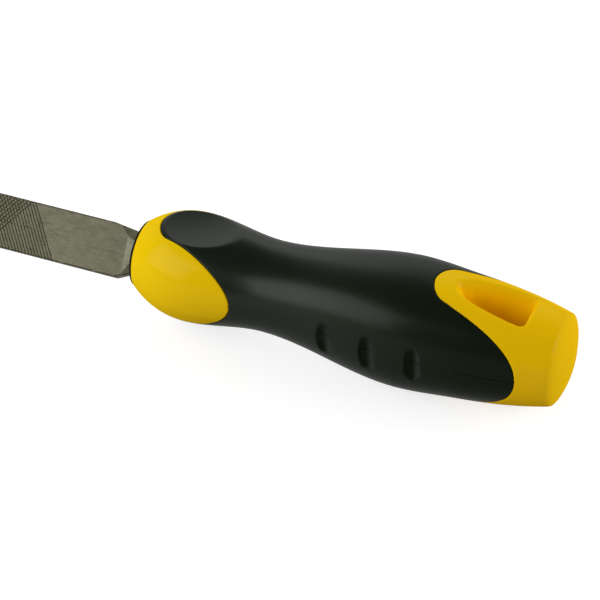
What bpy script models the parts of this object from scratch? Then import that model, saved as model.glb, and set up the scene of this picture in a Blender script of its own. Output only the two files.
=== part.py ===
"""Flat file with a two-material moulded handle.

The blade, heel and tang are one steel forging. The tang sits in a black bush, the bush in the
yellow core of the handle, and a black grip is moulded round the core's neck.

Working frame: X runs along the handle from the nose face (0) to the butt, Z points out of the
thumb rest. An empty carries every piece and puts the finished part's bottom centre at the origin.
"""
import math

import bmesh
import bpy
from mathutils import Matrix, Vector

MM = 0.001

# Gap between pieces that touch on the real object
CLEARANCE = 0.3 * MM

# Blade, a 150 mm flat file
BLADE_LENGTH = 150 * MM
BLADE_WIDTH = 16 * MM
BLADE_THICKNESS = 4 * MM
BLADE_PARALLEL_LENGTH = 100 * MM
TIP_WIDTH = 13 * MM
TIP_THICKNESS = 3 * MM
EDGE_CHAMFER = 0.25 * MM

# How the blade stands in the handle: turned about the axis, and a little off it
BLADE_TURN_DEG = 46
BLADE_OFFSET = 1.2 * MM

# Forged shoulders, as distances from the nose: where the flat ends and the two edges draw in
FLAT_END = 6 * MM
UPPER_SHOULDER = 11.6 * MM
LOWER_SHOULDER = 7.2 * MM

# Tang: reach of its two edges from the blade's centre line, and its bevelled corners
TANG_UPPER_REACH = 6.7 * MM
TANG_LOWER_REACH = 5.3 * MM
TANG_UPPER_BEVEL = 2.8 * MM
TANG_LOWER_BEVEL = 1.4 * MM
TANG_BEVEL_DEPTH = 1.3 * MM
TANG_THICKNESS = 3.2 * MM
TANG_LENGTH = 58 * MM
TANG_END_REACH = 2.5 * MM
TANG_END_THICKNESS = 2.4 * MM
TANG_END_BEVEL = 0.6 * MM

# Tang bush: a tapered sleeve with a flange that covers the nose face
BUSH_WALL = 0.6 * MM
BUSH_END_WALL = 4 * MM
BUSH_END_RADIUS = 5.4 * MM
FLANGE_THICKNESS = 0.7 * MM
NOSE_WALL = 2.9 * MM

# Handle outline: lengths from one turning point to the next, and half heights there
BULB_LENGTH = 16.8 * MM
BULB_HALF = 16.5 * MM
WAIST_LENGTH = 24.2 * MM
WAIST_HALF = 13.7 * MM
SWELL_LENGTH = 44 * MM
SWELL_HALF = 18.6 * MM
TAIL_LENGTH = 18.3 * MM
TAIL_HALF = 17.3 * MM
BUTT_LENGTH = 27 * MM
BUTT_HALF = 13.2 * MM
DOME_HEIGHT = 3.1 * MM
NOSE_SLOPE = 0.77
TAIL_SLOPE = -0.075
BUTT_SLOPE = -0.26

# Cross-section: round up to the waist, a little squarer from the swell on
ROUND_POWER = 2.0
SQUARE_POWER = 2.3

# Colour lines: tongues drawn in plan, with a round tip and flared sides
FRONT_TIP_INSET = 6.2 * MM
FRONT_TIP_HALF = 6.1 * MM
REAR_TIP_REACH = 38.2 * MM
REAR_TIP_HALF = 6.2 * MM
TIP_ROUNDING = 4.9 * MM
TONGUE_FLARE = 0.3

# Grip wall, the step between the core's skin and its neck
GRIP_WALL = 4 * MM

# Thumb rest: an oval dish behind the tip of the grip
DISH_MARGIN = 1.1 * MM
DISH_LENGTH = 23.2 * MM
DISH_WIDTH = 17.4 * MM
DISH_HOLLOW = 0.4 * MM

# Finger scoops on both sides, the last one just behind the swell
SCOOP_COUNT = 3
SCOOP_LAST_OFFSET = 7.2 * MM
SCOOP_PITCH = 14 * MM
SCOOP_WIDTH = 5.2 * MM
SCOOP_HEIGHT = 12 * MM
SCOOP_DEPTH = 1.2 * MM

# Hang hole: a rounded triangle with its narrow end towards the grip
HOLE_INSET = 9.1 * MM
HOLE_LENGTH = 21.3 * MM
HOLE_WIDTH = 12.2 * MM
HOLE_FRONT_RADIUS = 2.0 * MM
HOLE_REAR_RADIUS = 2.4 * MM
HOLE_EDGE_ROUND = 1.5 * MM

# Facets
AROUND = 48
NOSE_RINGS = 7
GRIP_RINGS = 26
NECK_RINGS = 14
BUTT_RINGS = 6
DOME_RINGS = 4
CORNER_FACETS = 6
EDGE_FACETS = 3

# Finishes: colour, roughness, metallic
STEEL = ((0.19, 0.18, 0.14), 0.42, 1.0)
YELLOW = ((0.74, 0.49, 0.003), 0.38, 0.0)
BLACK_SOFT = ((0.009, 0.010, 0.007), 0.55, 0.0)
BLACK_HARD = ((0.012, 0.012, 0.011), 0.45, 0.0)

# Places along the axis that follow from the sizes
BLADE_TIP_X = -FLAT_END - BLADE_LENGTH
TANG_START_X = -FLANGE_THICKNESS - 2 * CLEARANCE
BULB_X = BULB_LENGTH
WAIST_X = BULB_X + WAIST_LENGTH
SWELL_X = WAIST_X + SWELL_LENGTH
TAIL_X = SWELL_X + TAIL_LENGTH
BUTT_X = TAIL_X + BUTT_LENGTH
FRONT_TIP_X = FRONT_TIP_INSET
REAR_TIP_X = BUTT_X - REAR_TIP_REACH
HOLE_REAR_X = BUTT_X - HOLE_INSET
HOLE_FRONT_X = HOLE_REAR_X - HOLE_LENGTH
DISH_X = FRONT_TIP_X + DISH_MARGIN + DISH_LENGTH / 2

# The bush clears the tang's furthest corner, and the nose clears the bush
TANG_EDGE_HALF = TANG_THICKNESS / 2 - TANG_BEVEL_DEPTH
TANG_FURTHEST = max(TANG_LOWER_REACH + BLADE_OFFSET, TANG_UPPER_REACH - BLADE_OFFSET)
BUSH_RADIUS = math.hypot(TANG_FURTHEST + CLEARANCE, TANG_EDGE_HALF + CLEARANCE) + BUSH_WALL
BUSH_LENGTH = TANG_LENGTH + BUSH_END_WALL
NOSE_HALF = BUSH_RADIUS + CLEARANCE + NOSE_WALL


def clear_scene():
    for item in list(bpy.data.objects):
        bpy.data.objects.remove(item, do_unlink=True)


def finish_material(name, finish):
    colour, roughness, metallic = finish
    material = bpy.data.materials.new(name)
    material.use_nodes = True
    shader = material.node_tree.nodes["Principled BSDF"]
    shader.inputs["Base Color"].default_value = (*colour, 1.0)
    shader.inputs["Roughness"].default_value = roughness
    shader.inputs["Metallic"].default_value = metallic
    return material


def add_object(name, bm, parent, material=None, crease_deg=35):
    """Turn a bmesh into an object that hangs on the part's empty."""
    bmesh.ops.recalc_face_normals(bm, faces=bm.faces)
    mesh = bpy.data.meshes.new(name)
    bm.to_mesh(mesh)
    bm.free()
    piece = bpy.data.objects.new(name, mesh)
    bpy.context.collection.objects.link(piece)
    piece.parent = parent
    if material:
        mesh.materials.append(material)
        mesh.shade_smooth()
        mesh.set_sharp_from_angle(angle=math.radians(crease_deg))
    return piece


def cut_with(piece, cutter):
    """Take a cutter out of a piece; the cutter itself is no part of the model."""
    cutter.hide_render = True
    cutter.display_type = 'WIRE'
    cut = piece.modifiers.new(cutter.name, 'BOOLEAN')
    cut.operation = 'DIFFERENCE'
    cut.object = cutter


def join_loops(bm, near, far):
    """Band of quads between two closed loops of vertices."""
    count = len(near)
    for i in range(count):
        j = (i + 1) % count
        bm.faces.new((near[i], near[j], far[j], far[i]))


def skin(bm, rings, capped=True):
    """Bridge closed rings of points in turn, and cap the two ends if asked."""
    loops = []
    for ring in rings:
        loops.append([bm.verts.new(point) for point in ring])
    for near, far in zip(loops, loops[1:]):
        join_loops(bm, near, far)
    if capped:
        bm.faces.new(loops[0])
        bm.faces.new(loops[-1])
    return loops


def ramp(x, start, end):
    """Share of the way from start to end, held at 0 before and 1 after."""
    return min(max((x - start) / (end - start), 0.0), 1.0)


def mix(a, b, share):
    return a + (b - a) * share


# Blade

def blade_matrix():
    """Blade frame: local Y across the blade, local Z out of its flat."""
    turn = Matrix.Rotation(math.radians(BLADE_TURN_DEG), 4, 'X')
    return turn @ Matrix.Translation((0, -BLADE_OFFSET, 0))


def blade_section(x, grow=0.0):
    """Eight-cornered section: two flats, with bevels down to the two edges."""
    taper_x = -FLAT_END - BLADE_PARALLEL_LENGTH
    tip = ramp(x, taper_x, BLADE_TIP_X)
    upper = ramp(x, -UPPER_SHOULDER, TANG_START_X)
    lower = ramp(x, -LOWER_SHOULDER, TANG_START_X)
    flat = ramp(x, -FLAT_END, TANG_START_X)
    tang = ramp(x, 0.0, TANG_LENGTH)

    half_width = mix(BLADE_WIDTH, TIP_WIDTH, tip) / 2
    high = mix(mix(half_width, TANG_UPPER_REACH, upper), BLADE_OFFSET + TANG_END_REACH, tang)
    low = mix(mix(half_width, TANG_LOWER_REACH, lower), TANG_END_REACH - BLADE_OFFSET, tang)
    half = mix(BLADE_THICKNESS, TIP_THICKNESS, tip) / 2
    half = mix(mix(half, TANG_THICKNESS / 2, flat), TANG_END_THICKNESS / 2, tang)
    high_bevel = mix(mix(EDGE_CHAMFER, TANG_UPPER_BEVEL, upper), TANG_END_BEVEL, tang)
    low_bevel = mix(mix(EDGE_CHAMFER, TANG_LOWER_BEVEL, lower), TANG_END_BEVEL, tang)
    high_edge = half - mix(mix(EDGE_CHAMFER, TANG_BEVEL_DEPTH, upper), TANG_END_BEVEL, tang)
    low_edge = half - mix(mix(EDGE_CHAMFER, TANG_BEVEL_DEPTH, lower), TANG_END_BEVEL, tang)

    corners = (
        (-low - grow, -low_edge - grow), (-low - grow + low_bevel, -half - grow),
        (high + grow - high_bevel, -half - grow), (high + grow, -high_edge - grow),
        (high + grow, high_edge + grow), (high + grow - high_bevel, half + grow),
        (-low - grow + low_bevel, half + grow), (-low - grow, low_edge + grow),
    )
    return [Vector((x, y, z)) for y, z in corners]


def make_blade(parent):
    places = sorted((BLADE_TIP_X, -FLAT_END - BLADE_PARALLEL_LENGTH, -UPPER_SHOULDER, -FLAT_END,
                     -LOWER_SHOULDER, TANG_START_X, 0.0, TANG_LENGTH))
    bm = bmesh.new()
    skin(bm, [blade_section(x) for x in places])
    blade = add_object("file_blade", bm, parent, finish_material("blade_steel", STEEL), 20)
    blade.matrix_local = blade_matrix()


# Handle surface

# The outline's turning points: place, half height, slope
OUTLINE = (
    (0.0, NOSE_HALF, NOSE_SLOPE),
    (BULB_X, BULB_HALF, 0.0),
    (WAIST_X, WAIST_HALF, 0.0),
    (SWELL_X, SWELL_HALF, 0.0),
    (TAIL_X, TAIL_HALF, TAIL_SLOPE),
    (BUTT_X, BUTT_HALF, BUTT_SLOPE),
)


def handle_half(x):
    """Half height of the handle at x: a cubic from each turning point to the next."""
    for (x0, half0, slope0), (x1, half1, slope1) in zip(OUTLINE, OUTLINE[1:]):
        if x <= x1:
            break
    t = ramp(x, x0, x1)
    lead_in = t**3 - 2 * t**2 + t
    lead_out = t**3 - t**2
    bend = (x1 - x0) * (slope0 * lead_in + slope1 * lead_out)
    return mix(half0, half1, 3 * t**2 - 2 * t**3) + bend


def section_power(x):
    """Exponent of the superellipse that is the handle's section at x."""
    t = ramp(x, WAIST_X, SWELL_X)
    return mix(ROUND_POWER, SQUARE_POWER, 3 * t**2 - 2 * t**3)


def section_point(x, angle, half, power):
    c, s = math.cos(angle), math.sin(angle)
    reach = half / (abs(c)**power + abs(s)**power)**(1 / power)
    return Vector((x, reach * c, reach * s))


def handle_point(x, angle, inset=0.0):
    """Point of the handle's outer surface, or of a surface inside it, at an angle from +Y."""
    return section_point(x, angle, handle_half(x) - inset, section_power(x))


def tongue_half_width(distance, tip_half):
    """Half width in plan of a tongue of colour, behind its tip."""
    rounding = min(distance / TIP_ROUNDING, 1.0)
    return tip_half * math.sqrt(1 - (1 - rounding)**2) + TONGUE_FLARE * distance


def colour_line(tip_x, tip_half):
    """Place along the handle, at each angle, where the tongue drawn in plan meets the surface."""
    line = []
    for angle in ANGLES:
        low, high = tip_x, BUTT_X
        for _ in range(40):
            middle = (low + high) / 2
            if tongue_half_width(middle - tip_x, tip_half) < abs(handle_point(middle, angle).y):
                low = middle
            else:
                high = middle
        line.append(low)
    return line


ANGLES = [math.tau * i / AROUND for i in range(AROUND)]
FRONT_LINE = colour_line(FRONT_TIP_X, FRONT_TIP_HALF)
REAR_LINE = colour_line(REAR_TIP_X, REAR_TIP_HALF)


def handle_rings(starts, ends, steps, inset=0.0):
    """Rings of surface points in even steps from one line round the handle to another."""
    rings = []
    for step in range(steps + 1):
        places = [mix(a, b, step / steps) for a, b in zip(starts, ends)]
        rings.append([handle_point(x, angle, inset) for x, angle in zip(places, ANGLES)])
    return rings


def set_back(line, distance):
    """Colour line moved along X so that it lies this far from the first, measured square to it."""
    moved = []
    for i, x in enumerate(line):
        run = line[(i + 1) % AROUND] - line[i - 1]
        across = 2 * math.tau / AROUND * handle_half(x)
        moved.append(x + distance * math.hypot(run, across) / across)
    return moved


def round_ring(x, radius):
    return [section_point(x, angle, radius, ROUND_POWER) for angle in ANGLES]


# Tang bush

def make_bush(parent):
    bm = bmesh.new()
    skin(bm, [
        round_ring(-FLANGE_THICKNESS - CLEARANCE, NOSE_HALF - CLEARANCE),
        round_ring(-CLEARANCE, NOSE_HALF - CLEARANCE),
        round_ring(-CLEARANCE, BUSH_RADIUS),
        round_ring(BUSH_LENGTH, BUSH_END_RADIUS),
    ])
    bush = add_object("tang_bush", bm, parent, finish_material("bush_plastic", BLACK_HARD))

    mouth = blade_section(TANG_START_X, CLEARANCE)
    for point in mouth:
        point.x -= FLANGE_THICKNESS
    bottom = blade_section(TANG_LENGTH, CLEARANCE)
    for point in bottom:
        point.x += CLEARANCE
    socket_bm = bmesh.new()
    skin(socket_bm, [mouth, blade_section(0.0, CLEARANCE), bottom])
    socket = add_object("tang_socket", socket_bm, parent)
    socket.matrix_local = blade_matrix()
    cut_with(bush, socket)


# Core

def dome_rings():
    """Rings of the domed butt, from its edge inwards."""
    rings = []
    for step in range(1, DOME_RINGS):
        lean = math.pi / 2 * step / DOME_RINGS
        x = BUTT_X + DOME_HEIGHT * math.sin(lean)
        half = BUTT_HALF * math.cos(lean)
        rings.append([section_point(x, angle, half, SQUARE_POWER) for angle in ANGLES])
    return rings


def make_core(parent):
    front_wall = set_back(FRONT_LINE, -CLEARANCE / 2)
    rear_wall = set_back(REAR_LINE, CLEARANCE / 2)
    rings = [
        round_ring(BUSH_LENGTH + CLEARANCE, BUSH_END_RADIUS + CLEARANCE),
        round_ring(0.0, BUSH_RADIUS + CLEARANCE),
    ]
    rings += handle_rings([0.0] * AROUND, front_wall, NOSE_RINGS)
    rings += handle_rings(front_wall, rear_wall, NECK_RINGS, GRIP_WALL)
    rings += handle_rings(rear_wall, [BUTT_X] * AROUND, BUTT_RINGS)
    rings += dome_rings()
    bm = bmesh.new()
    skin(bm, rings)
    core = add_object("handle_core", bm, parent, finish_material("core_plastic", YELLOW))
    cut_with(core, hang_hole(parent))


def corner_arc(centre_x, centre_y, radius, start_deg, end_deg):
    points = []
    for i in range(CORNER_FACETS + 1):
        angle = math.radians(mix(start_deg, end_deg, i / CORNER_FACETS))
        points.append((centre_x + radius * math.cos(angle), centre_y + radius * math.sin(angle)))
    return points


def hole_outline(grow):
    """Rounded triangle in plan, grown outwards."""
    front_x = HOLE_FRONT_X + HOLE_FRONT_RADIUS
    rear_x = HOLE_REAR_X - HOLE_REAR_RADIUS
    rear_y = HOLE_WIDTH / 2 - HOLE_REAR_RADIUS
    run = rear_x - front_x
    side_angle = math.atan2(rear_y, run) + math.asin((HOLE_REAR_RADIUS - HOLE_FRONT_RADIUS) / run)
    lean = math.degrees(side_angle)
    outline = corner_arc(rear_x, rear_y, HOLE_REAR_RADIUS + grow, 0, 90 + lean)
    outline += corner_arc(front_x, 0.0, HOLE_FRONT_RADIUS + grow, 90 + lean, 270 - lean)
    outline += corner_arc(rear_x, -rear_y, HOLE_REAR_RADIUS + grow, 270 - lean, 360)
    return outline


def surface_height(x, y):
    """Height of the handle's surface above its axis at a point in plan."""
    half, power = handle_half(x), section_power(x)
    return half * (1 - (abs(y) / half)**power)**(1 / power)


def hang_hole(parent):
    """Cutter along Z, with rounded edges that follow the handle's surface at both mouths."""
    beyond_z = 2 * SWELL_HALF
    upper_rings = []
    for step in range(EDGE_FACETS + 1):
        lean = math.pi / 2 * step / EDGE_FACETS
        depth = HOLE_EDGE_ROUND * (1 - math.sin(lean))
        outline = hole_outline(HOLE_EDGE_ROUND * (1 - math.cos(lean)))
        upper_rings.append([Vector((x, y, surface_height(x, y) - depth)) for x, y in outline])
    upper_rings.append([Vector((x, y, beyond_z)) for x, y in hole_outline(HOLE_EDGE_ROUND)])
    lower_rings = [[Vector((p.x, p.y, -p.z)) for p in ring] for ring in reversed(upper_rings)]
    bm = bmesh.new()
    skin(bm, lower_rings + upper_rings)
    return add_object("hang_hole", bm, parent)


# Grip

def oval_cutter(name, parent, centre, half_sizes):
    bm = bmesh.new()
    bmesh.ops.create_uvsphere(bm, u_segments=24, v_segments=12, radius=1.0)
    bmesh.ops.scale(bm, vec=half_sizes, verts=bm.verts)
    bmesh.ops.translate(bm, vec=centre, verts=bm.verts)
    return add_object(name, bm, parent)


def dish_cutter(parent):
    """Oval that cuts the round top of the grip flat across the dish's rim, and hollows it."""
    half_length, half_width = DISH_LENGTH / 2, DISH_WIDTH / 2
    crown = handle_half(DISH_X)
    rim_z = math.sqrt(crown**2 - half_width**2)
    half_height = 4 * DISH_HOLLOW
    centre_z = rim_z - DISH_HOLLOW + half_height
    widen = 1 / math.sqrt(1 - ((centre_z - rim_z) / half_height)**2)
    return oval_cutter("thumb_dish", parent, (DISH_X, 0, centre_z),
                       (half_length, half_width * widen, half_height))


def make_grip(parent):
    front = set_back(FRONT_LINE, CLEARANCE / 2)
    rear = set_back(REAR_LINE, -CLEARANCE / 2)
    bm = bmesh.new()
    outer = skin(bm, handle_rings(front, rear, GRIP_RINGS), False)
    inner = skin(bm, handle_rings(front, rear, NECK_RINGS, GRIP_WALL - CLEARANCE), False)
    join_loops(bm, outer[0], inner[0])
    join_loops(bm, inner[-1], outer[-1])
    grip = add_object("grip_sleeve", bm, parent, finish_material("grip_plastic", BLACK_SOFT))

    cut_with(grip, dish_cutter(parent))
    scoop_sizes = (SCOOP_WIDTH / 2, SCOOP_DEPTH, SCOOP_HEIGHT / 2)
    for number in range(SCOOP_COUNT):
        x = SWELL_X + SCOOP_LAST_OFFSET - SCOOP_PITCH * number
        for side, side_name in ((-1, "near"), (1, "far")):
            centre = (x, side * handle_half(x), 0)
            cut_with(grip, oval_cutter(f"finger_scoop_{side_name}_{number}", parent, centre, scoop_sizes))


def part_frame():
    """Empty that puts the bottom centre of the whole part at the origin."""
    butt_end_x = dome_rings()[-1][0].x
    grip_rings = handle_rings(set_back(FRONT_LINE, CLEARANCE / 2),
                              set_back(REAR_LINE, -CLEARANCE / 2), GRIP_RINGS)
    lowest_z = min(point.z for ring in grip_rings for point in ring)
    frame = bpy.data.objects.new("file_frame", None)
    bpy.context.collection.objects.link(frame)
    frame.location = (-(BLADE_TIP_X + butt_end_x) / 2, 0, -lowest_z)
    return frame


clear_scene()
frame = part_frame()
make_blade(frame)
make_bush(frame)
make_core(frame)
make_grip(frame)
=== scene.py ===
import math

import bmesh
import bpy
from mathutils import Matrix, Vector


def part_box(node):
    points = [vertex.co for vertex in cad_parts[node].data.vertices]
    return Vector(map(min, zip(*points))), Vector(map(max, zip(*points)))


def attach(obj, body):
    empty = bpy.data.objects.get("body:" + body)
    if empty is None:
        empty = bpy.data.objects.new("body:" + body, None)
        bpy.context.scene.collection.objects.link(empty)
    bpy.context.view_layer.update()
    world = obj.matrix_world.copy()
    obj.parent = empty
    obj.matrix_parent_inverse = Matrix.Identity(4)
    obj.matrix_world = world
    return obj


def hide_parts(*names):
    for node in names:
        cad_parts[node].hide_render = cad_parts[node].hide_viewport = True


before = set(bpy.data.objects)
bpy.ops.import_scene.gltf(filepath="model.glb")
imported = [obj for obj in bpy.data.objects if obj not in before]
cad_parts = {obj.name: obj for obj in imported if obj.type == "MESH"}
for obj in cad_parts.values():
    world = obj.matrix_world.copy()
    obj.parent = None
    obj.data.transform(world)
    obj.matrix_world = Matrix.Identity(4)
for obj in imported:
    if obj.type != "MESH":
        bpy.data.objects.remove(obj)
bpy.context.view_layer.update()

# File blade. One forging of tool steel: a flat blade with ground shoulders and a tang, hardened after
# both faces have been cut with rows of teeth, a first cut slanting one way and a second across it.
# The tang runs into the handle, where the bush holds it.
MM = 0.001
WELD = 0.0005
NOSE_FACE_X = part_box("handle_core")[0].x
AXIS_Z = (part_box("grip_sleeve")[0].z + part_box("grip_sleeve")[1].z) / 2

# Sizes are in millimetres in the handle's own frame: X along its axis from the nose face to the butt,
# Z out of the thumb rest. The blade is turned about that axis, and its middle lies a little off it.
HANDLE_PLACE = Matrix.Translation((NOSE_FACE_X, 0, AXIS_Z)) @ Matrix.Scale(MM, 4)
BLADE_TURN_DEG = 46
BLADE_OFFSET = 1.2
BLADE_PLACE = (HANDLE_PLACE @ Matrix.Rotation(math.radians(BLADE_TURN_DEG), 4, 'X')
               @ Matrix.Translation((0, -BLADE_OFFSET, 0)))

BLADE_HALF_WIDTH = 8.0
BLADE_HALF_THICKNESS = 2.0
BLADE_TIP_X = -156.0
BLADE_TAPER_X = -106.0
TIP_HALF_WIDTH = 6.5
TIP_HALF_THICKNESS = 1.5
EDGE_CHAMFER = 0.5
UPPER_SHOULDER_X = -11.6
LOWER_SHOULDER_X = -7.2
TANG_START_X = -1.3
TANG_UPPER_REACH = 6.7
TANG_LOWER_REACH = 5.3
TANG_END_X = 58.0
TANG_END_REACH = 2.5
TANG_END_HALF_THICKNESS = 1.2

# Each cut line is x = start - number * pitch + lean * y, its teeth a steep wall and a long back.
# Between its first line and the tang the heel is plain, in wider steps.
FIRST_CUT = {"start": -32.8, "pitch": 1.108, "lean": -0.654, "lines": 120, "plain": 17, "depth": 0.20}
SECOND_CUT = {"start": -44.6, "pitch": 1.387, "lean": 0.734, "lines": 89, "plain": 18, "depth": 0.26}
CUT_PLACES = (0.0, 0.16, 0.34, 0.66)
CUT_PROFILE = (0.0, 1.0, 0.12, 0.06)
CUT_STEPS = len(CUT_PLACES)
PLAIN_STRIDE = 2

# A row of teeth notches the edge where it runs out, and the edge takes the painted shade of a groove cut this
# deep
EDGE_NOTCH = 0.12
EDGE_SHADE_DEPTH = 6 * SECOND_CUT["depth"]

# Ground facets at the shoulders: a line in plan, the way it falls away from it, and its slope
GROUND_FACETS = {
    "end": ((-5.95, 0.0), (0.9972, 0.0750), 0.088),
    "upper": ((-6.28, 4.83), (0.683, 0.730), 0.21),
    "lower": ((-5.15, -5.43), (0.958, -0.288), 0.26),
}


def cut_line(cut, number):
    """Where a line of teeth crosses the centre line, and how deep its profile is there."""
    if number <= 0:
        return cut["start"] - number * PLAIN_STRIDE * cut["pitch"], 0.0
    line, step = divmod(number, CUT_STEPS)
    return cut["start"] - (line + CUT_PLACES[step]) * cut["pitch"], cut["depth"] * CUT_PROFILE[step]


def facet_drop(name, x, y):
    """How far a ground facet lies under the blade's face at a point in plan, negative before its line."""
    (line_x, line_y), (fall_x, fall_y), slope = GROUND_FACETS[name]
    return slope * ((x - line_x) * fall_x + (y - line_y) * fall_y)


def ground_drop(x, y):
    """How far the lowest of the ground facets lies under the blade's face, 0 on the flat."""
    return max(0.0, *(facet_drop(name, x, y) for name in GROUND_FACETS))


def whole(bm):
    return bm.verts[:] + bm.edges[:] + bm.faces[:]


def trim(bm, point, outward):
    """Cut the sheet off along a line in plan, with a crease one chamfer's width inside it."""
    outward = Vector((*outward, 0)).normalized()
    point = Vector((*point, 0))
    for inset, clear in ((EDGE_CHAMFER, False), (0.0, True)):
        bmesh.ops.bisect_plane(bm, geom=whole(bm), dist=WELD, plane_co=point - outward * inset,
                               plane_no=outward, clear_outer=clear)


blade_bm = bmesh.new()
first_rows = FIRST_CUT["plain"] + FIRST_CUT["lines"] * CUT_STEPS
second_rows = SECOND_CUT["plain"] + SECOND_CUT["lines"] * CUT_STEPS
bmesh.ops.create_grid(blade_bm, x_segments=first_rows, y_segments=second_rows, size=0.5)
cut_depth = blade_bm.verts.layers.float.new("cut_depth")
for vert in blade_bm.verts:
    first_number = round((vert.co.x + 0.5) * first_rows) - FIRST_CUT["plain"]
    second_number = round((vert.co.y + 0.5) * second_rows) - SECOND_CUT["plain"]
    first_x, first_depth = cut_line(FIRST_CUT, first_number)
    second_x, second_depth = cut_line(SECOND_CUT, second_number)
    vert.co.y = (first_x - second_x) / (SECOND_CUT["lean"] - FIRST_CUT["lean"])
    vert.co.x = first_x + FIRST_CUT["lean"] * vert.co.y
    vert[cut_depth] = max(first_depth, second_depth)

# The lattice of cut lines is far wider than the blade, so most of it goes before it is trimmed
SPARE = 5.0
outside = [v for v in blade_bm.verts
           if abs(v.co.y) > BLADE_HALF_WIDTH + SPARE or not BLADE_TIP_X - SPARE < v.co.x < SPARE]
bmesh.ops.delete(blade_bm, geom=outside, context='VERTS')
taper_run = BLADE_TAPER_X - BLADE_TIP_X
shoulders = ((1, UPPER_SHOULDER_X, TANG_UPPER_REACH), (-1, LOWER_SHOULDER_X, TANG_LOWER_REACH))
for side, shoulder_x, reach in shoulders:
    corner_y = side * BLADE_HALF_WIDTH
    trim(blade_bm, (0, corner_y), (0, side))
    trim(blade_bm, (BLADE_TAPER_X, corner_y), (TIP_HALF_WIDTH - BLADE_HALF_WIDTH, side * taper_run))
    trim(blade_bm, (shoulder_x, corner_y), (BLADE_HALF_WIDTH - reach, side * (TANG_START_X - shoulder_x)))
trim(blade_bm, (BLADE_TIP_X, 0), (-1, 0))
bmesh.ops.bisect_plane(blade_bm, geom=whole(blade_bm), dist=WELD, plane_co=(TANG_START_X, 0, 0),
                       plane_no=(1, 0, 0), clear_outer=True)

# Creases between the flat and the ground facets, and between the facets themselves
HEEL_X = -16.0
creases = (("end", None), ("upper", None), ("lower", None), ("end", "upper"), ("end", "lower"))
for name, other in creases:
    heel = [f for f in blade_bm.faces if f.calc_center_median().x > HEEL_X]
    heel = list({v for f in heel for v in f.verts}) + list({e for f in heel for e in f.edges}) + heel
    line, fall, slope = GROUND_FACETS[name]
    crease = Vector((*fall, 0)) * slope
    level = crease.dot(Vector((*line, 0)))
    if other:
        line, fall, slope = GROUND_FACETS[other]
        crease -= Vector((*fall, 0)) * slope
        level -= slope * Vector((*fall, 0)).dot(Vector((*line, 0)))
    bmesh.ops.bisect_plane(blade_bm, geom=heel, dist=WELD,
                           plane_co=crease * (level / crease.length_squared), plane_no=crease)

for vert in blade_bm.verts:
    tip_share = max(0.0, (BLADE_TAPER_X - vert.co.x) / taper_run)
    half = BLADE_HALF_THICKNESS + (TIP_HALF_THICKNESS - BLADE_HALF_THICKNESS) * tip_share
    vert.co.z = half - max(vert[cut_depth], ground_drop(*vert.co.xy))

# The end facet alone is ground bright
ground = blade_bm.faces.layers.float.new("ground")
for face in blade_bm.faces:
    x, y = face.calc_center_median().xy
    face[ground] = 1.0 if 0.0 < ground_drop(x, y) == facet_drop("end", x, y) else 0.0

# The outer edge goes down by the chamfer, with a notch where a row of teeth runs out
open_edges = [e for e in blade_bm.edges if e.is_boundary]
nose_edges = [e for e in open_edges if all(v.co.x > TANG_START_X - WELD for v in e.verts)]
for vert in {v for e in open_edges if e not in nose_edges for v in e.verts}:
    vert.co.z -= EDGE_CHAMFER
    vert.co.y -= math.copysign(EDGE_NOTCH * vert[cut_depth] / SECOND_CUT["depth"], vert.co.y)
    # Painted shade along the blade's outer edge
    vert[cut_depth] = EDGE_SHADE_DEPTH


def pull_out(bm, edges, move):
    """Extrude a run of edges and move the new vertices; gives the new run of edges."""
    made = bmesh.ops.extrude_edge_only(bm, edges=edges)["geom"]
    verts = {v for v in made if isinstance(v, bmesh.types.BMVert)}
    for vert in verts:
        vert.co = move(vert.co)
    return [e for e in made if isinstance(e, bmesh.types.BMEdge) and verts.issuperset(e.verts)]


def tang_end(co):
    """Where a point of the tang's section at the nose comes to at the far end of the tang."""
    reach = TANG_UPPER_REACH if co.y > 0 else TANG_LOWER_REACH
    y = BLADE_OFFSET + co.y / reach * TANG_END_REACH
    return Vector((TANG_END_X, y, co.z / BLADE_HALF_THICKNESS * TANG_END_HALF_THICKNESS))


# The tang is drawn out of the end at the nose, then every open edge comes down to the middle plane
nose_edges = pull_out(blade_bm, nose_edges, lambda co: Vector((0, co.y, co.z)))
pull_out(blade_bm, nose_edges, tang_end)
open_edges = [e for e in blade_bm.edges if e.is_boundary]
pull_out(blade_bm, open_edges, lambda co: Vector((co.x, co.y, 0)))
bmesh.ops.mirror(blade_bm, geom=whole(blade_bm), axis='Z', merge_dist=WELD)


def finish_piece(name, bm, place, material, node, crease_deg=None):
    """Closed mesh with its faces outwards, in the part's frame, hung on the root, with the imported part it
    is made after hidden.
    """
    bmesh.ops.remove_doubles(bm, verts=bm.verts, dist=WELD)
    bmesh.ops.recalc_face_normals(bm, faces=bm.faces)
    bmesh.ops.transform(bm, matrix=place, verts=bm.verts)
    mesh = bpy.data.meshes.new(name)
    bm.to_mesh(mesh)
    bm.free()
    if crease_deg:
        mesh.shade_smooth()
        mesh.set_sharp_from_angle(angle=math.radians(crease_deg))
    mesh.materials.append(material)
    piece = bpy.data.objects.new(name, mesh)
    bpy.context.scene.collection.objects.link(piece)
    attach(piece, "root")
    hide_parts(node)


def new_finish(name, roughness=0.5, metallic=0.0, specular=0.5):
    """Material with the values that are the same all over it; what varies is fed in later."""
    material = bpy.data.materials.new(name)
    material.use_nodes = True
    shader = material.node_tree.nodes["Principled BSDF"]
    shader.inputs["Roughness"].default_value = roughness
    shader.inputs["Metallic"].default_value = metallic
    shader.inputs["Specular IOR Level"].default_value = specular
    return material, shader


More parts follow.
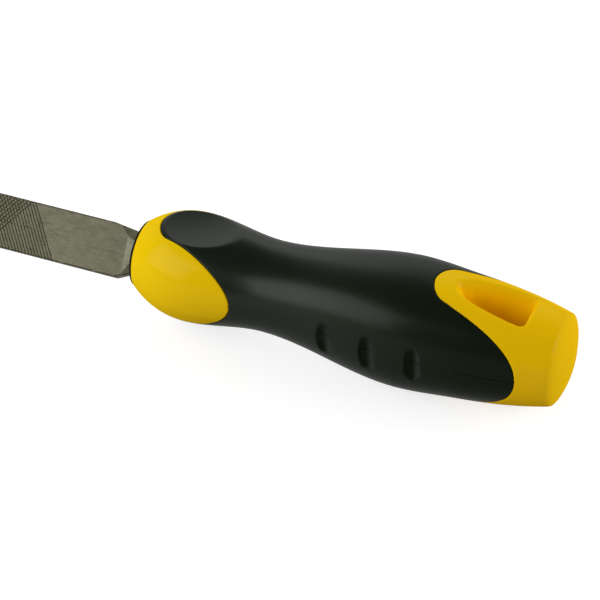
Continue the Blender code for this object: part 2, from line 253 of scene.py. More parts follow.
def add_node(material, kind, inputs, **settings):
    """Node with its settings; an input is a value, or the output socket that feeds it."""
    node = material.node_tree.nodes.new(kind)
    for key, value in settings.items():
        setattr(node, key, value)
    for key, value in inputs.items():
        if isinstance(value, bpy.types.NodeSocket):
            material.node_tree.links.new(value, node.inputs[key])
        else:
            node.inputs[key].default_value = value
    return node


def noise(material, per_mm, detail=3.0, stretch=(1, 1, 1)):
    """Noise on the piece's own coordinates, with its grain given per millimetre."""
    coords = add_node(material, "ShaderNodeTexCoord", {})
    mapping = add_node(material, "ShaderNodeMapping", {"Vector": coords.outputs["Object"], "Scale": stretch})
    inputs = {"Vector": mapping.outputs["Vector"], "Scale": per_mm / MM, "Detail": detail}
    return add_node(material, "ShaderNodeTexNoise", inputs).outputs["Fac"]


def mesh_value(material, layer):
    """The value that a layer of the mesh holds at each place."""
    return add_node(material, "ShaderNodeAttribute", {}, attribute_name=layer).outputs["Fac"]


def spread(material, factor, low, high, from_low=0.0, from_high=1.0):
    """A factor mapped to a range of values."""
    inputs = {"Value": factor, "From Min": from_low, "From Max": from_high, "To Min": low, "To Max": high}
    return add_node(material, "ShaderNodeMapRange", inputs).outputs["Result"]


def combine(material, operation, first, second):
    """Two values added, multiplied or otherwise put together."""
    return add_node(material, "ShaderNodeMath", {0: first, 1: second}, operation=operation).outputs[0]


def blend(material, factor, colour_a, colour_b):
    """Two colours mixed by a factor."""
    node = add_node(material, "ShaderNodeMix", {}, data_type='RGBA')
    for index, value in ((0, factor), (6, colour_a), (7, colour_b)):
        if isinstance(value, bpy.types.NodeSocket):
            material.node_tree.links.new(value, node.inputs[index])
        else:
            node.inputs[index].default_value = (*value, 1.0)
    return node.outputs[2]


def feed(material, shader, socket, value):
    """Link what varies over the surface to one of the shader's sockets."""
    material.node_tree.links.new(value, shader.inputs[socket])


def bump(material, shader, height, depth_mm, strength=1.0):
    """Fine relief in the surface's shading."""
    inputs = {"Height": height, "Distance": depth_mm * MM, "Strength": strength}
    feed(material, shader, "Normal", add_node(material, "ShaderNodeBump", inputs).outputs["Normal"])


STEEL_DARK = (0.108, 0.105, 0.068)
STEEL_LIGHT = (0.152, 0.148, 0.099)
STEEL_GROUND = (0.27, 0.27, 0.19)
# Dark colour of the scratches and grit, and of the painted shade in the grooves
STEEL_SCRATCH_AND_GROOVE_SHADE = (0.045, 0.040, 0.021)
DARKEST_SHADE_DEPTH = 2 * SECOND_CUT["depth"]
steel, steel_shader = new_finish("blade_steel", metallic=0.6, specular=0.2)
mottle = noise(steel, per_mm=0.35, detail=4.0)
streaks = noise(steel, per_mm=1.6, stretch=(0.12, 1, 1))
grit = noise(steel, per_mm=2.6, detail=4.0, stretch=(0.35, 1, 1))
grinding = noise(steel, per_mm=0.9, stretch=(1, 0.4, 1))
cloudy = spread(steel, mottle, 0.0, 1.0, from_low=0.3, from_high=0.7)
scratch = spread(steel, streaks, 0.5, 0.0, from_low=0.30, from_high=0.42)
dark_grit = spread(steel, grit, 0.22, 0.0, from_low=0.32, from_high=0.5)
bright_grit = spread(steel, grit, 0.0, 0.14, from_low=0.5, from_high=0.68)
shine = spread(steel, grinding, 0.45, 1.0, from_low=0.35, from_high=0.6)
shine = combine(steel, 'MULTIPLY', mesh_value(steel, "ground"), shine)
# Painted shade: the steel is darker down in the cut grooves, fully so at twice the second cut's depth
groove_shade = spread(steel, mesh_value(steel, "cut_depth"), 0.0, 0.8, from_high=DARKEST_SHADE_DEPTH)
colour = blend(steel, cloudy, STEEL_DARK, STEEL_LIGHT)
colour = blend(steel, scratch, colour, STEEL_SCRATCH_AND_GROOVE_SHADE)
colour = blend(steel, dark_grit, colour, STEEL_SCRATCH_AND_GROOVE_SHADE)
colour = blend(steel, bright_grit, colour, STEEL_GROUND)
colour = blend(steel, shine, colour, STEEL_GROUND)
colour = blend(steel, groove_shade, colour, STEEL_SCRATCH_AND_GROOVE_SHADE)
feed(steel, steel_shader, "Base Color", colour)
feed(steel, steel_shader, "Roughness", spread(steel, mottle, 0.46, 0.58))
bump(steel, steel_shader, streaks, depth_mm=0.02, strength=0.5)
finish_piece("blade", blade_bm, BLADE_PLACE, steel, "file_blade")

# Tang bush. A black moulded sleeve with a thin flange, pushed on to the tang, whose bevelled section
# its slot follows. The sleeve sits in the core's socket, and the flange covers the nose face.
BUSH_END_X = 62.0
BUSH_END_RADIUS = 5.4
BUSH_RADIUS = 7.4
BUSH_AROUND = 128
FLANGE_RADIUS = 10.15
FLANGE_FRONT_X = -0.9
FLANGE_BACK_X = -0.3
FLANGE_ROUND = 0.35
FLANGE_STEPS = 4
TANG_BEVEL_UPPER = 2.8
TANG_BEVEL_LOWER = 1.4
TANG_HALF_THICKNESS = 1.6
TANG_EDGE_HALF = 0.9
SLOT_CLEARANCE = 0.2
SLOT_LEAD = 0.25
SLOT_END_X = TANG_END_X + SLOT_CLEARANCE
SLOT_END_SHARE = TANG_END_REACH / TANG_LOWER_REACH
NEARLY_ZERO = 1e-6
CREASE_DEG = 40


def slot_reach(angle, grow):
    """Distance from the axis to the wall of the tang's slot, seen along the axis."""
    turned = angle - math.radians(BLADE_TURN_DEG)
    way = Vector((math.cos(turned), math.sin(turned)))
    upper = TANG_UPPER_REACH - BLADE_OFFSET
    lower = TANG_LOWER_REACH + BLADE_OFFSET
    fall = TANG_HALF_THICKNESS - TANG_EDGE_HALF
    walls = [(Vector((1, 0)), upper), (Vector((-1, 0)), lower)]
    for side in (1, -1):
        walls.append((Vector((0, side)), TANG_HALF_THICKNESS))
        upper_wall = Vector((fall, side * TANG_BEVEL_UPPER)).normalized()
        walls.append((upper_wall, upper_wall.dot(Vector((upper, side * TANG_EDGE_HALF)))))
        lower_wall = Vector((-fall, side * TANG_BEVEL_LOWER)).normalized()
        walls.append((lower_wall, lower_wall.dot(Vector((-lower, side * TANG_EDGE_HALF)))))
    return min((reach + grow) / wall.dot(way) for wall, reach in walls if wall.dot(way) > NEARLY_ZERO)


def ring_at(x, reach_at):
    """Ring of points about the axis, its reach given for each angle."""
    ring = []
    for i in range(BUSH_AROUND):
        angle = math.tau * i / BUSH_AROUND
        reach = reach_at(angle)
        ring.append(Vector((x, reach * math.cos(angle), reach * math.sin(angle))))
    return ring


def plain_ring(x, radius):
    return ring_at(x, lambda angle: radius)


def slot_ring(x, grow, share=1.0):
    """Ring on the wall of the tang's slot, which narrows to a share of its size at the far end."""
    return ring_at(x, lambda angle: share * slot_reach(angle, grow))


def roll(rings, left_open=None):
    """A grid rolled up into a tube, each row of its vertices on one ring of points."""
    rows, around = len(rings) - 1, len(rings[0])
    bm = bmesh.new()
    bmesh.ops.create_grid(bm, x_segments=rows, y_segments=around, size=0.5)
    unit_cells = Matrix.Diagonal((rows, around, 1, 1)) @ Matrix.Translation((0.5, 0.5, 0))
    bmesh.ops.transform(bm, matrix=unit_cells, verts=bm.verts)
    if left_open:
        gone = [f for f in bm.faces if left_open(*f.calc_center_median().xy)]
        bmesh.ops.delete(bm, geom=gone, context='FACES')
    for vert in bm.verts:
        vert.co = rings[round(vert.co.x)][round(vert.co.y) % around]
    bmesh.ops.remove_doubles(bm, verts=bm.verts, dist=WELD)
    return bm


bush_rings = [
    plain_ring(SLOT_END_X, 0.0),
    slot_ring(SLOT_END_X, SLOT_CLEARANCE, SLOT_END_SHARE),
    slot_ring(0.0, SLOT_CLEARANCE),
    slot_ring(FLANGE_FRONT_X + SLOT_LEAD, SLOT_CLEARANCE),
    slot_ring(FLANGE_FRONT_X, SLOT_CLEARANCE + SLOT_LEAD),
]
for step in range(FLANGE_STEPS + 1):
    lean = math.pi / 2 * step / FLANGE_STEPS
    x = FLANGE_FRONT_X + FLANGE_ROUND * (1 - math.cos(lean))
    bush_rings.append(plain_ring(x, FLANGE_RADIUS - FLANGE_ROUND * (1 - math.sin(lean))))
bush_rings += [
    plain_ring(FLANGE_BACK_X, FLANGE_RADIUS),
    plain_ring(FLANGE_BACK_X, BUSH_RADIUS),
    plain_ring(BUSH_END_X, BUSH_END_RADIUS),
    plain_ring(BUSH_END_X, 0.0),
]

BUSH_BLACK = (0.006, 0.006, 0.004)
BUSH_WORN = (0.014, 0.014, 0.010)
bush_plastic, bush_shader = new_finish("bush_black", specular=0.05)
bush_grain = noise(bush_plastic, per_mm=1.2, detail=4.0)
feed(bush_plastic, bush_shader, "Base Color", blend(bush_plastic, bush_grain, BUSH_BLACK, BUSH_WORN))
feed(bush_plastic, bush_shader, "Roughness", spread(bush_plastic, bush_grain, 0.42, 0.6))
bump(bush_plastic, bush_shader, noise(bush_plastic, per_mm=6.0), depth_mm=0.02)
finish_piece("bush", roll(bush_rings), HANDLE_PLACE, bush_plastic, "tang_bush", CREASE_DEG)

# Handle core. One hard yellow moulding: the round nose, a neck hidden under the grip, and the butt
# with its domed end and the hang hole. The bush sits in its socket, and the grip is moulded over
# the neck, so that the yellow shows as a tongue at each end, with a fine groove along the joint.
BULB_X, BULB_HALF = 16.8, 16.5
WAIST_X, WAIST_HALF = 41.0, 13.7
SWELL_X, SWELL_HALF = 85.0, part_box("grip_sleeve")[1].y / MM
TAIL_X, TAIL_HALF, TAIL_SLOPE = 103.3, 17.3, -0.075
BUTT_X, BUTT_HALF, BUTT_SLOPE = 129.9, 13.2, -0.26
NOSE_HALF, NOSE_SLOPE = 10.6, 0.77
DOME_HEIGHT = (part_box("handle_core")[1].x - NOSE_FACE_X) / MM - BUTT_X
ROUND_POWER, SQUARE_POWER = 2.0, 2.3
FRONT_TIP_X, FRONT_TIP_HALF = 6.2, 6.2
REAR_TIP_X, REAR_TIP_HALF = 92.1, 6.2
TIP_ROUNDING = 4.9
TONGUE_FLARE = 0.30
FLASH = 0.6
GRIP_WALL = 4.0
JOINT_GAP = 0.06
LIP = 0.35
LIP_STEPS = 4
AROUND = 240
NOSE_ROWS, NECK_ROWS, BUTT_ROWS, DOME_ROWS = 44, 12, 56, 16
SOCKET_X, SOCKET_END_RADIUS, SOCKET_RADIUS = 62.3, 5.7, 7.7
HALVINGS = 32

# Edge round the nose face, and the rings on it: place along and distance inwards in parts of its rounding
NOSE_ROUND = 0.4
NOSE_EDGE_RINGS = ((0.0, 1.6), (0.3, 0.6))

# The outline's turning points: place, half height, slope
OUTLINE = (
    (0.0, NOSE_HALF, NOSE_SLOPE), (BULB_X, BULB_HALF, 0.0), (WAIST_X, WAIST_HALF, 0.0),
    (SWELL_X, SWELL_HALF, 0.0), (TAIL_X, TAIL_HALF, TAIL_SLOPE), (BUTT_X, BUTT_HALF, BUTT_SLOPE),
)

# Columns round the handle, with a close pair on each parting line for its groove
PARTING_WIDTH_DEG = 0.45
columns = [360 * i / AROUND for i in range(AROUND)]
columns += [PARTING_WIDTH_DEG, 180 - PARTING_WIDTH_DEG, 180 + PARTING_WIDTH_DEG, 360 - PARTING_WIDTH_DEG]
ANGLES = [math.radians(column) for column in sorted(columns)]


def share_of(x, start, end):
    return min(max((x - start) / (end - start), 0.0), 1.0)


def mix(a, b, share):
    return a + (b - a) * share


def find_place(low, high, is_before):
    """Place between two others up to which a test holds, found by halving."""
    for _ in range(HALVINGS):
        middle = (low + high) / 2
        if is_before(middle):
            low = middle
        else:
            high = middle
    return low


def handle_half(x):
    """Half height of the handle at x: a cubic from each turning point to the next."""
    for (x0, half0, slope0), (x1, half1, slope1) in zip(OUTLINE, OUTLINE[1:]):
        if x <= x1:
            break
    t = share_of(x, x0, x1)
    bend = (x1 - x0) * (slope0 * (t**3 - 2 * t**2 + t) + slope1 * (t**3 - t**2))
    return mix(half0, half1, 3 * t**2 - 2 * t**3) + bend


def section_power(x):
    """Exponent of the superellipse that is the handle's section at x."""
    t = share_of(x, WAIST_X, SWELL_X)
    return mix(ROUND_POWER, SQUARE_POWER, 3 * t**2 - 2 * t**3)


def section_point(x, angle, half, power):
    """Point of a superellipse about the axis."""
    c, s = math.cos(angle), math.sin(angle)
    reach = half / (abs(c)**power + abs(s)**power)**(1 / power)
    return Vector((x, reach * c, reach * s))


def handle_point(x, angle, inset=0.0):
    """Point on the handle's surface, or this far under it."""
    return section_point(x, angle, handle_half(x) - inset, section_power(x))


def neck_point(x, angle):
    return handle_point(x, angle, GRIP_WALL)


def surface_height(x, y):
    """Height of the handle's surface above its axis at a point in plan."""
    half, power = handle_half(x), section_power(x)
    return half * (1 - (abs(y) / half)**power)**(1 / power)


def on_parting_line(angle):
    return abs(math.sin(angle)) <= NEARLY_ZERO


def tongue_half(behind_tip, tip_half):
    """Half width in plan of a tongue of colour, at a distance behind its rounded tip."""
    rounding = min(behind_tip / TIP_ROUNDING, 1.0)
    return tip_half * math.sqrt(1 - (1 - rounding)**2) + TONGUE_FLARE * behind_tip


def colour_line(tip_x, tip_half, flash):
    """Place along the handle, at each angle, where a tongue of colour drawn in plan meets the surface.

    The black runs on a little into the yellow at the mould's parting line.
    """
    line = []
    for angle in ANGLES:
        x = find_place(tip_x, BUTT_X,
                       lambda x: tongue_half(x - tip_x, tip_half) < abs(handle_point(x, angle).y))
        line.append(x + flash if on_parting_line(angle) else x)
    return line


def set_back(line, distance):
    """Colour line moved along X so that it lies this far from the first, measured square to it."""
    moved = []
    for i, x in enumerate(line):
        j = (i + 1) % len(line)
        across = (handle_point(line[j], ANGLES[j]) - handle_point(line[i - 1], ANGLES[i - 1])).yz.length
        moved.append(x + distance * math.hypot(line[j] - line[i - 1], across) / across)
    return moved


def surface_rings(starts, ends, steps, point_at):
    """Rings of points in even steps from one line round the handle to another."""
    rings = []
    for step in range(steps + 1):
        places = [mix(a, b, step / steps) for a, b in zip(starts, ends)]
        rings.append([point_at(x, angle) for x, angle in zip(places, ANGLES)])
    return rings


def lip_rings(line, inward, point_at):
    """Rings of a rounded lip, from the skin down into the joint; inward is the way the skin lies."""
    rings = []
    for step in range(1, LIP_STEPS + 1):
        lean = math.pi / 2 * step / LIP_STEPS
        places = set_back(line, inward * (JOINT_GAP + LIP * (1 - math.sin(lean))))
        inset = LIP * (1 - math.cos(lean))
        rings.append([point_at(x, angle, inset) for x, angle in zip(places, ANGLES)])
    return rings


def axis_ring(x, radius):
    return [section_point(x, angle, radius, ROUND_POWER) for angle in ANGLES]


FRONT_LINE = colour_line(FRONT_TIP_X, FRONT_TIP_HALF, -FLASH)
REAR_LINE = colour_line(REAR_TIP_X, REAR_TIP_HALF, FLASH)
nose_start = [NOSE_ROUND] * len(ANGLES)
nose_end = set_back(FRONT_LINE, -JOINT_GAP - LIP)
neck_start = set_back(FRONT_LINE, -JOINT_GAP)
neck_end = set_back(REAR_LINE, JOINT_GAP)
butt_start = set_back(REAR_LINE, JOINT_GAP + LIP)
butt_end = [BUTT_X] * len(ANGLES)

core_rings = [axis_ring(SOCKET_X, 0.0), axis_ring(SOCKET_X, SOCKET_END_RADIUS), axis_ring(0.0, SOCKET_RADIUS)]
for along, inwards in NOSE_EDGE_RINGS:
    core_rings.append(axis_ring(along * NOSE_ROUND, handle_half(NOSE_ROUND) - inwards * NOSE_ROUND))
core_rings += surface_rings(nose_start, nose_end, NOSE_ROWS, handle_point)
core_rings += lip_rings(FRONT_LINE, -1, handle_point)
core_rings += surface_rings(neck_start, neck_end, NECK_ROWS, neck_point)
core_rings += reversed(lip_rings(REAR_LINE, 1, handle_point))
butt_row = len(core_rings)
core_rings += surface_rings(butt_start, butt_end, BUTT_ROWS, handle_point)
for step in range(1, DOME_ROWS + 1):
    lean = math.pi / 2 * step / DOME_ROWS
    x, half = BUTT_X + DOME_HEIGHT * math.sin(lean), BUTT_HALF * math.cos(lean)
    core_rings.append([section_point(x, angle, half, SQUARE_POWER) for angle in ANGLES])

# Hang hole: a rounded triangle in plan with its narrow end towards the grip
HOLE_FRONT_X, HOLE_REAR_X, HOLE_HALF_WIDTH = 99.9, 120.6, 6.1
HOLE_CORNER = 1.5
HOLE_SIDE_STEPS, HOLE_SIDE_POWER = 8, 0.72
HOLE_RIM, HOLE_RIM_FRONT, HOLE_RIM_SLOPE = 1.7, 2.3, 2.4
HOLE_DRAFT = 0.8
HOLE_CENTRE = Vector((112.5, 0.0))
HOLE_BLOCK_ROWS = (0.09, 0.88)
HOLE_BLOCK_DEG = 36
BOUNCE_LIGHT_START, BOUNCE_LIGHT_DEEP = 0.8, 4.5
SKIN_STEPS, RIM_STEPS, WALL_STEPS = 5, 8, 4
hole_run = HOLE_REAR_X - HOLE_FRONT_X - 2 * HOLE_CORNER
HOLE_CORNERS = [Vector((HOLE_FRONT_X + HOLE_CORNER, 0.0))]
for side in (-1, 1):
    for step in range(1, HOLE_SIDE_STEPS + 1):
        t = (step if side < 0 else HOLE_SIDE_STEPS + 1 - step) / HOLE_SIDE_STEPS
        reach = (HOLE_HALF_WIDTH - HOLE_CORNER) * (1 - (1 - t)**2)**HOLE_SIDE_POWER
        HOLE_CORNERS.append(Vector((HOLE_FRONT_X + HOLE_CORNER + t * hole_run, side * reach)))


def hole_distance(point):
    """Distance in plan from the hole's wall, negative inside the hole."""
    nearest, inside = math.inf, True
    for i, corner in enumerate(HOLE_CORNERS):
        side = HOLE_CORNERS[(i + 1) % len(HOLE_CORNERS)] - corner
        reach = point - corner
        along = min(max(reach.dot(side) / side.length_squared, 0.0), 1.0)
        nearest = min(nearest, (reach - side * along).length)
        inside = inside and side.cross(reach) > 0
    return (-nearest if inside else nearest) - HOLE_CORNER


def hole_point(way, distance):
    """Point in plan on a ray from the hole's centre, this far outside its wall."""
    furthest = HOLE_REAR_X - HOLE_FRONT_X
    reach = find_place(0.0, furthest, lambda reach: hole_distance(HOLE_CENTRE + way * reach) < distance)
    return HOLE_CENTRE + way * reach


def way_out_of_hole(co):
    return (co.xy - HOLE_CENTRE).normalized()


def rim_reach(way):
    """Width of the hole's rounded rim, wider at the front end."""
    return mix(HOLE_RIM, HOLE_RIM_FRONT, max(0.0, -way.x)**3)


def in_hole_block(row, column):
    """Cells of the butt that give way to the rings round the hole, on top and underneath."""
    share = (row - butt_row) / BUTT_ROWS
    left, right = math.floor(column), math.ceil(column) % len(ANGLES)
    angle = math.degrees((ANGLES[left] + ANGLES[right]) / 2) % 180
    return HOLE_BLOCK_ROWS[0] < share < HOLE_BLOCK_ROWS[1] and abs(angle - 90) < HOLE_BLOCK_DEG


def skin_step(co, side, steps_left):
    """Next point over the skin on the way to the outer edge of the hole's rim."""
    way = way_out_of_hole(co)
    goal = hole_point(way, rim_reach(way))
    place = co.xy + (goal - co.xy) / steps_left
    return Vector((*place, side * surface_height(*place)))


def rim_step(co, side, lean):
    """Point on the rounded rim, which leans over from the skin down to upright."""
    way = way_out_of_hole(co)
    place = hole_point(way, rim_reach(way) * (1 - math.cos(lean)))
    depth = rim_reach(way) * HOLE_RIM_SLOPE * (1 - math.sin(lean))
    return Vector((*place, side * (surface_height(*place) - depth)))


def wall_step(co, steps_left):
    """Next point down the hole's wall, which draws in a little towards the middle of the handle."""
    place = hole_point(way_out_of_hole(co), HOLE_DRAFT * ((steps_left - 1) / WALL_STEPS - 1))
    return Vector((*place, co.z * (1 - 1 / steps_left)))


core_bm = roll(core_rings, in_hole_block)
for side in (1, -1):
    rim = [e for e in core_bm.edges if e.is_boundary and e.verts[0].co.z * side > 0]
    for steps_left in range(SKIN_STEPS, 0, -1):
        rim = pull_out(core_bm, rim, lambda co: skin_step(co, side, steps_left))
    for step in range(RIM_STEPS - 1, -1, -1):
        lean = math.pi / 2 * step / RIM_STEPS
        rim = pull_out(core_bm, rim, lambda co: rim_step(co, side, lean))
    for steps_left in range(WALL_STEPS, 0, -1):
        rim = pull_out(core_bm, rim, lambda co: wall_step(co, steps_left))

# Painted bounce light: the yellow is made brighter and warmer down in the hole, standing in for the light
# that comes to it off its own walls
bounce_light = core_bm.verts.layers.float.new("bounce_light")
for vert in core_bm.verts:
    if vert.co.x > HOLE_FRONT_X - HOLE_RIM_FRONT and hole_distance(vert.co.xy) < HOLE_RIM_FRONT:
        vert[bounce_light] = share_of(surface_height(*vert.co.xy) - abs(vert.co.z), BOUNCE_LIGHT_START, BOUNCE_LIGHT_DEEP)

YELLOW = (0.81, 0.54, 0.002)
YELLOW_PAINTED_SHADE = (0.81, 0.475, 0.001)
YELLOW_BOUNCE_LIGHT = (1.0, 0.63, 0.001)
core_plastic, core_shader = new_finish("core_yellow", roughness=0.4, specular=0.0)
core_shader.inputs["Coat Weight"].default_value = 0.012
core_shader.inputs["Coat Roughness"].default_value = 0.14
core_shader.inputs["Coat IOR"].default_value = 4.0
core_coords = add_node(core_plastic, "ShaderNodeTexCoord", {})
core_axes = add_node(core_plastic, "ShaderNodeSeparateXYZ", {"Vector": core_coords.outputs["Object"]})
butt_end_x = NOSE_FACE_X + BUTT_X * MM
# Painted shade: the yellow turns a deeper orange towards the butt, standing in for the shade there; the noise
# on top is a random drift in tone
shade_to_butt = spread(core_plastic, core_axes.outputs["X"], 0.0, 0.8, from_low=NOSE_FACE_X, from_high=butt_end_x)
drift = spread(core_plastic, noise(core_plastic, per_mm=0.05, detail=2.0), -0.2, 0.4)
colour = blend(core_plastic, combine(core_plastic, 'ADD', shade_to_butt, drift), YELLOW, YELLOW_PAINTED_SHADE)
# Painted bounce light in the hang hole
colour = blend(core_plastic, mesh_value(core_plastic, "bounce_light"), colour, YELLOW_BOUNCE_LIGHT)
feed(core_plastic, core_shader, "Base Color", colour)
bump(core_plastic, core_shader, noise(core_plastic, per_mm=5.0), depth_mm=0.012)
finish_piece("core", core_bm, HANDLE_PLACE, core_plastic, "handle_core", CREASE_DEG)

# Grip. Soft black plastic moulded over the core's neck, with an oval thumb rest pressed into its top,
# three finger scoops in each side, and the mould's parting line along both sides.
GRIP_ROWS = 290
GRIP_INNER_GAP = 0.25
DISH_X, DISH_HALF_LENGTH, DISH_HALF_WIDTH = 18.9, 11.6, 8.7
DISH_HOLLOW = 0.4
DISH_CRISP, DISH_SOFT = 0.12, 0.7
DISH_MARGIN = 1.0
SCOOPS = ((64.2, -1.2, 5.5), (78.2, -0.7, 6.0), (92.2, -0.5, 5.8))
SCOOP_HALF_WIDTH, SCOOP_DEPTH = 2.6, 1.4
SCOOP_BOTTOM = -0.2
PARTING_DEPTH, PARTING_FAINT = 0.34, 0.01
PARTING_DEEP_X = 104.0
PARTING_WAVER = 0.3
PARTING_WAVE_RATES = (2.3, 5.1)


def dish_height(x, y):
    """Height of the thumb rest's bowl over the axis; its rim meets the skin at the oval's ends."""
    floor = surface_height(DISH_X, DISH_HALF_WIDTH) - DISH_HOLLOW
    end = math.copysign(DISH_HALF_LENGTH, x - DISH_X)
    end_rise = handle_half(DISH_X + end) - floor
    return floor + end_rise * ((x - DISH_X) / end)**2 + DISH_HOLLOW * (y / DISH_HALF_WIDTH)**2


def lower_of(a, b, rounding):
    """The lower of two heights, with the corner between them rounded."""
    lap = max(rounding - abs(a - b), 0.0) / rounding
    return min(a, b) - lap * lap * rounding / 4


def scoop_depth(x, z):
    """Depth of a finger scoop, and the place in it from -1 at its front edge to 1 at its back edge.

    The front wall is steep and the back is longer. Outside the scoops the depth is 0.
    """
    for scoop_x, scoop_z, half_height in SCOOPS:
        bow = math.sqrt(max(0.0, 1 - abs((z - scoop_z) / half_height)**3))
        along = (x - scoop_x) / SCOOP_HALF_WIDTH
        if abs(along) < bow:
            along /= bow
            end = -1 if along < SCOOP_BOTTOM else 1
            wall = (end - along) / (end - SCOOP_BOTTOM)
            return SCOOP_DEPTH * bow * math.sqrt(wall), along
    return 0.0, 1.0


def parting_depth(x, angle):
    """Groove of the parting line, a single column wide, deeper in the scoops and behind them."""
    if not on_parting_line(angle):
        return 0.0
    in_scoop = scoop_depth(x, 0.0)[0] > 0
    if not in_scoop and x < PARTING_DEEP_X:
        return PARTING_FAINT
    wave = math.prod(math.sin(rate * x) for rate in PARTING_WAVE_RATES)
    return PARTING_DEPTH * (1 - PARTING_WAVER + PARTING_WAVER * wave)


def grip_point(x, angle, inset=0.0):
    """Point on the grip's surface, or this far under it, with its scoops, parting line and thumb rest."""
    skin = handle_point(x, angle)
    inset = inset + scoop_depth(x, skin.z)[0] + parting_depth(x, angle)
    point = handle_point(x, angle, inset)
    if point.z > 0 and abs(x - DISH_X) < DISH_HALF_LENGTH + DISH_MARGIN:
        blunt = mix(DISH_CRISP, DISH_SOFT, share_of(x, DISH_X, DISH_X + DISH_HALF_LENGTH))
        point.z = lower_of(point.z, dish_height(x, point.y), blunt)
    return point


def grip_inner_point(x, angle):
    return handle_point(x, angle, GRIP_WALL - GRIP_INNER_GAP)


grip_start = set_back(FRONT_LINE, JOINT_GAP + LIP)
grip_end = set_back(REAR_LINE, -JOINT_GAP - LIP)
inner_start = set_back(REAR_LINE, -JOINT_GAP)
inner_end = set_back(FRONT_LINE, JOINT_GAP)
grip_rings = list(reversed(lip_rings(FRONT_LINE, 1, grip_point)))
grip_rings += surface_rings(grip_start, grip_end, GRIP_ROWS, grip_point)
grip_rings += lip_rings(REAR_LINE, -1, grip_point)
grip_rings += surface_rings(inner_start, inner_end, NECK_ROWS, grip_inner_point)
grip_rings.append(grip_rings[0])

# Painted shade and highlight through the gloss: the scoops' front walls are made matt so that they read dark,
# and their backs glossy so that they read bright; on the rest of the grip the gloss falls off towards the
# butt and on the underside, standing in for the shade there.
MATT_FRONT, MATT_FRONT_WALL = 0.7, (0.4, -0.4)
GLOSSY_BACK_WALL = (-0.1, 0.5)
MATT_REAR, MATT_REAR_X = 0.8, (55, 108)
MATT_UNDER, MATT_UNDER_HEIGHT = 0.55, (0.3, -0.6)
UNDER_AT_REAR = 0.5
grip_bm = roll(grip_rings)
shade_matt_layer = grip_bm.verts.layers.float.new("shade_matt")
for vert in grip_bm.verts:
    depth, along = scoop_depth(vert.co.x, vert.co.z)
    front = MATT_FRONT * share_of(along, *MATT_FRONT_WALL) if depth else 0.0
    back = share_of(along, *GLOSSY_BACK_WALL) if depth else 0.0
    rear = MATT_REAR * share_of(vert.co.x, *MATT_REAR_X)
    under = MATT_UNDER * share_of(vert.co.z / handle_half(vert.co.x), *MATT_UNDER_HEIGHT)
    vert[shade_matt_layer] = min(1.0, max(under, rear + UNDER_AT_REAR * under) * (1 - back) + front)

GRIP_BLACK = (0.0042, 0.0062, 0.0034)
GRIP_DUSTY = (0.0062, 0.0086, 0.0050)
GRIP_GLOSS = 0.039
grip_plastic, grip_shader = new_finish("grip_black", roughness=0.42, specular=0.04)
grip_shader.inputs["Specular Tint"].default_value = (0.35, 1.0, 0.15, 1.0)
grip_shader.inputs["Coat Roughness"].default_value = 0.29
grip_shader.inputs["Coat IOR"].default_value = 4.0
# Painted shade: the coat's gloss is taken away where the mask stands in for shade
gloss = spread(grip_plastic, mesh_value(grip_plastic, "shade_matt"), GRIP_GLOSS, 0.0)
feed(grip_plastic, grip_shader, "Coat Weight", gloss)
dust = noise(grip_plastic, per_mm=0.09)
feed(grip_plastic, grip_shader, "Base Color", blend(grip_plastic, dust, GRIP_BLACK, GRIP_DUSTY))
bump(grip_plastic, grip_shader, noise(grip_plastic, per_mm=3.5, detail=2.0), depth_mm=0.03)
finish_piece("grip", grip_bm, HANDLE_PLACE, grip_plastic, "grip_sleeve", CREASE_DEG)

# Floor. A pale sheet under the file; the camera and mirror-like surfaces see it as white paper,
# with the file's own shadow left on it.
FLOOR_HALF = 4.0
FLOOR_WHITE = 0.52
FLOOR_GLOW = 0.7
floor_bm = bmesh.new()
bmesh.ops.create_grid(floor_bm, x_segments=1, y_segments=1, size=FLOOR_HALF)
floor_mesh = bpy.data.meshes.new("floor")
floor_bm.to_mesh(floor_mesh)
floor_bm.free()
floor = bpy.data.objects.new("floor", floor_mesh)
bpy.context.scene.collection.objects.link(floor)
paper, paper_shader = new_finish("floor_paper", roughness=0.9, specular=0.0)
paper_shader.inputs["Base Color"].default_value = (FLOOR_WHITE, FLOOR_WHITE, FLOOR_WHITE, 1.0)
paper_shader.inputs["Emission Color"].default_value = (1.0, 1.0, 1.0, 1.0)


def seen_directly(material):
    """1 for rays from the camera, a mirror or glass, 0 for the light that falls on things."""
    path = add_node(material, "ShaderNodeLightPath", {})
    seen = path.outputs["Is Camera Ray"]
    for kind in ("Is Glossy Ray", "Is Transmission Ray"):
        seen = combine(material, 'MAXIMUM', seen, path.outputs[kind])
    return seen


feed(paper, paper_shader, "Emission Strength", combine(paper, 'MULTIPLY', seen_directly(paper), FLOOR_GLOW))
floor.data.materials.append(paper)

# Light. A bright backdrop behind the file in a room that is dim elsewhere, with soft boxes in front
# to the left, behind, and past the butt.
BACKDROP_WHITE, ROOM_DIM = 1.3, 0.20
BACKDROP_TOP, BACKDROP_EDGE = 0.55, 0.85
BACKDROP_FRONT, BACKDROP_BACK = 0.0, 0.35
LIT_X = 60
world = bpy.data.worlds.new("studio")
bpy.context.scene.world = world
world.use_nodes = True
background = world.node_tree.nodes["Background"]
background.inputs["Color"].default_value = (1.0, 1.0, 1.0, 1.0)
direction = add_node(world, "ShaderNodeTexCoord", {}).outputs["Generated"]
axes = add_node(world, "ShaderNodeSeparateXYZ", {"Vector": direction}).outputs
low_down = spread(world, axes["Z"], 1.0, 0.0, from_low=BACKDROP_TOP, from_high=BACKDROP_EDGE)
behind = spread(world, axes["Y"], 0.0, 1.0, from_low=BACKDROP_FRONT, from_high=BACKDROP_BACK)
backdrop = combine(world, 'MULTIPLY', low_down, behind)
feed(world, background, "Strength", spread(world, backdrop, ROOM_DIM, BACKDROP_WHITE))


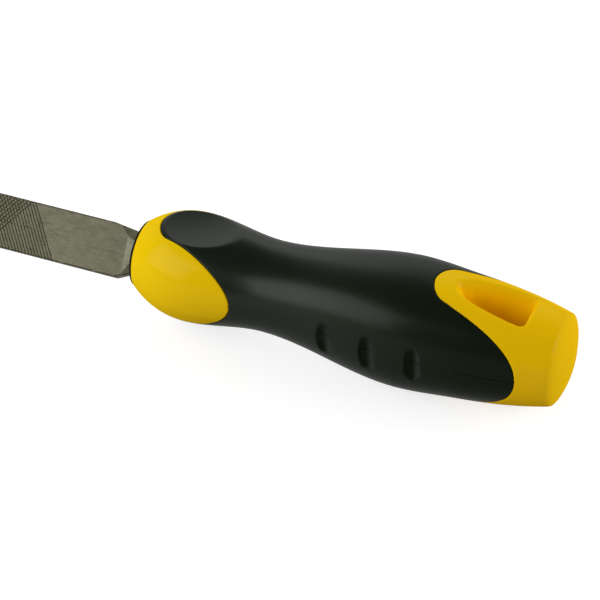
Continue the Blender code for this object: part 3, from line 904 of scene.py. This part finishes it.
def away_from_file(azimuth_deg, elevation_deg):
    """Direction out from the file; azimuth 0 is square to its near side, 90 past the butt."""
    turn, rise = math.radians(azimuth_deg), math.radians(elevation_deg)
    return Vector((math.sin(turn) * math.cos(rise), -math.cos(turn) * math.cos(rise), math.sin(rise)))


def soft_box(name, azimuth_deg, elevation_deg, distance, width, height, power):
    """Area lamp turned towards the middle of the handle."""
    lamp = bpy.data.lights.new(name, 'AREA')
    lamp.shape = 'RECTANGLE'
    lamp.size, lamp.size_y = width, height
    lamp.energy = power
    away = away_from_file(azimuth_deg, elevation_deg)
    lamp_object = bpy.data.objects.new(name, lamp)
    lamp_object.location = HANDLE_PLACE @ Vector((LIT_X, 0, 0)) + away * distance
    lamp_object.rotation_euler = away.to_track_quat('Z', 'Y').to_euler()
    bpy.context.scene.collection.objects.link(lamp_object)


soft_box("front_box", -44, 26, distance=0.9, width=0.92, height=0.64, power=6.8)
soft_box("back_box", -157, 30, distance=1.2, width=1.0, height=0.45, power=1.9)
soft_box("butt_box", 100, 16, distance=1.0, width=0.6, height=0.5, power=4.3)

# Camera. A long lens from the butt's side of the near face, looking down on the thumb rest,
# aimed a little to the left of the handle's middle.
LENS_MM = 181.4
CAMERA_AZIMUTH_DEG, CAMERA_ELEVATION_DEG = 22.74, 37.6
CAMERA_DISTANCE = 0.8769
AIM_X = 65.55
AIM_LEFT, AIM_UP = 14.48, 1.69
turn = math.radians(CAMERA_AZIMUTH_DEG)
away = away_from_file(CAMERA_AZIMUTH_DEG, CAMERA_ELEVATION_DEG)
right = Vector((math.cos(turn), math.sin(turn), 0))
camera = bpy.data.objects.new("camera", bpy.data.cameras.new("camera"))
camera.data.lens = LENS_MM
camera.location = HANDLE_PLACE @ Vector((AIM_X, 0, 0)) + away * CAMERA_DISTANCE
aim = HANDLE_PLACE @ (Vector((AIM_X, 0, 0)) - right * AIM_LEFT + away.cross(right) * AIM_UP)
back = (camera.location - aim).normalized()
up = back.cross(right).normalized()
camera.rotation_euler = Matrix((up.cross(back), up, back)).transposed().to_euler()
bpy.context.scene.collection.objects.link(camera)
bpy.context.scene.camera = camera
bpy.context.scene.view_settings.view_transform = 'Standard'
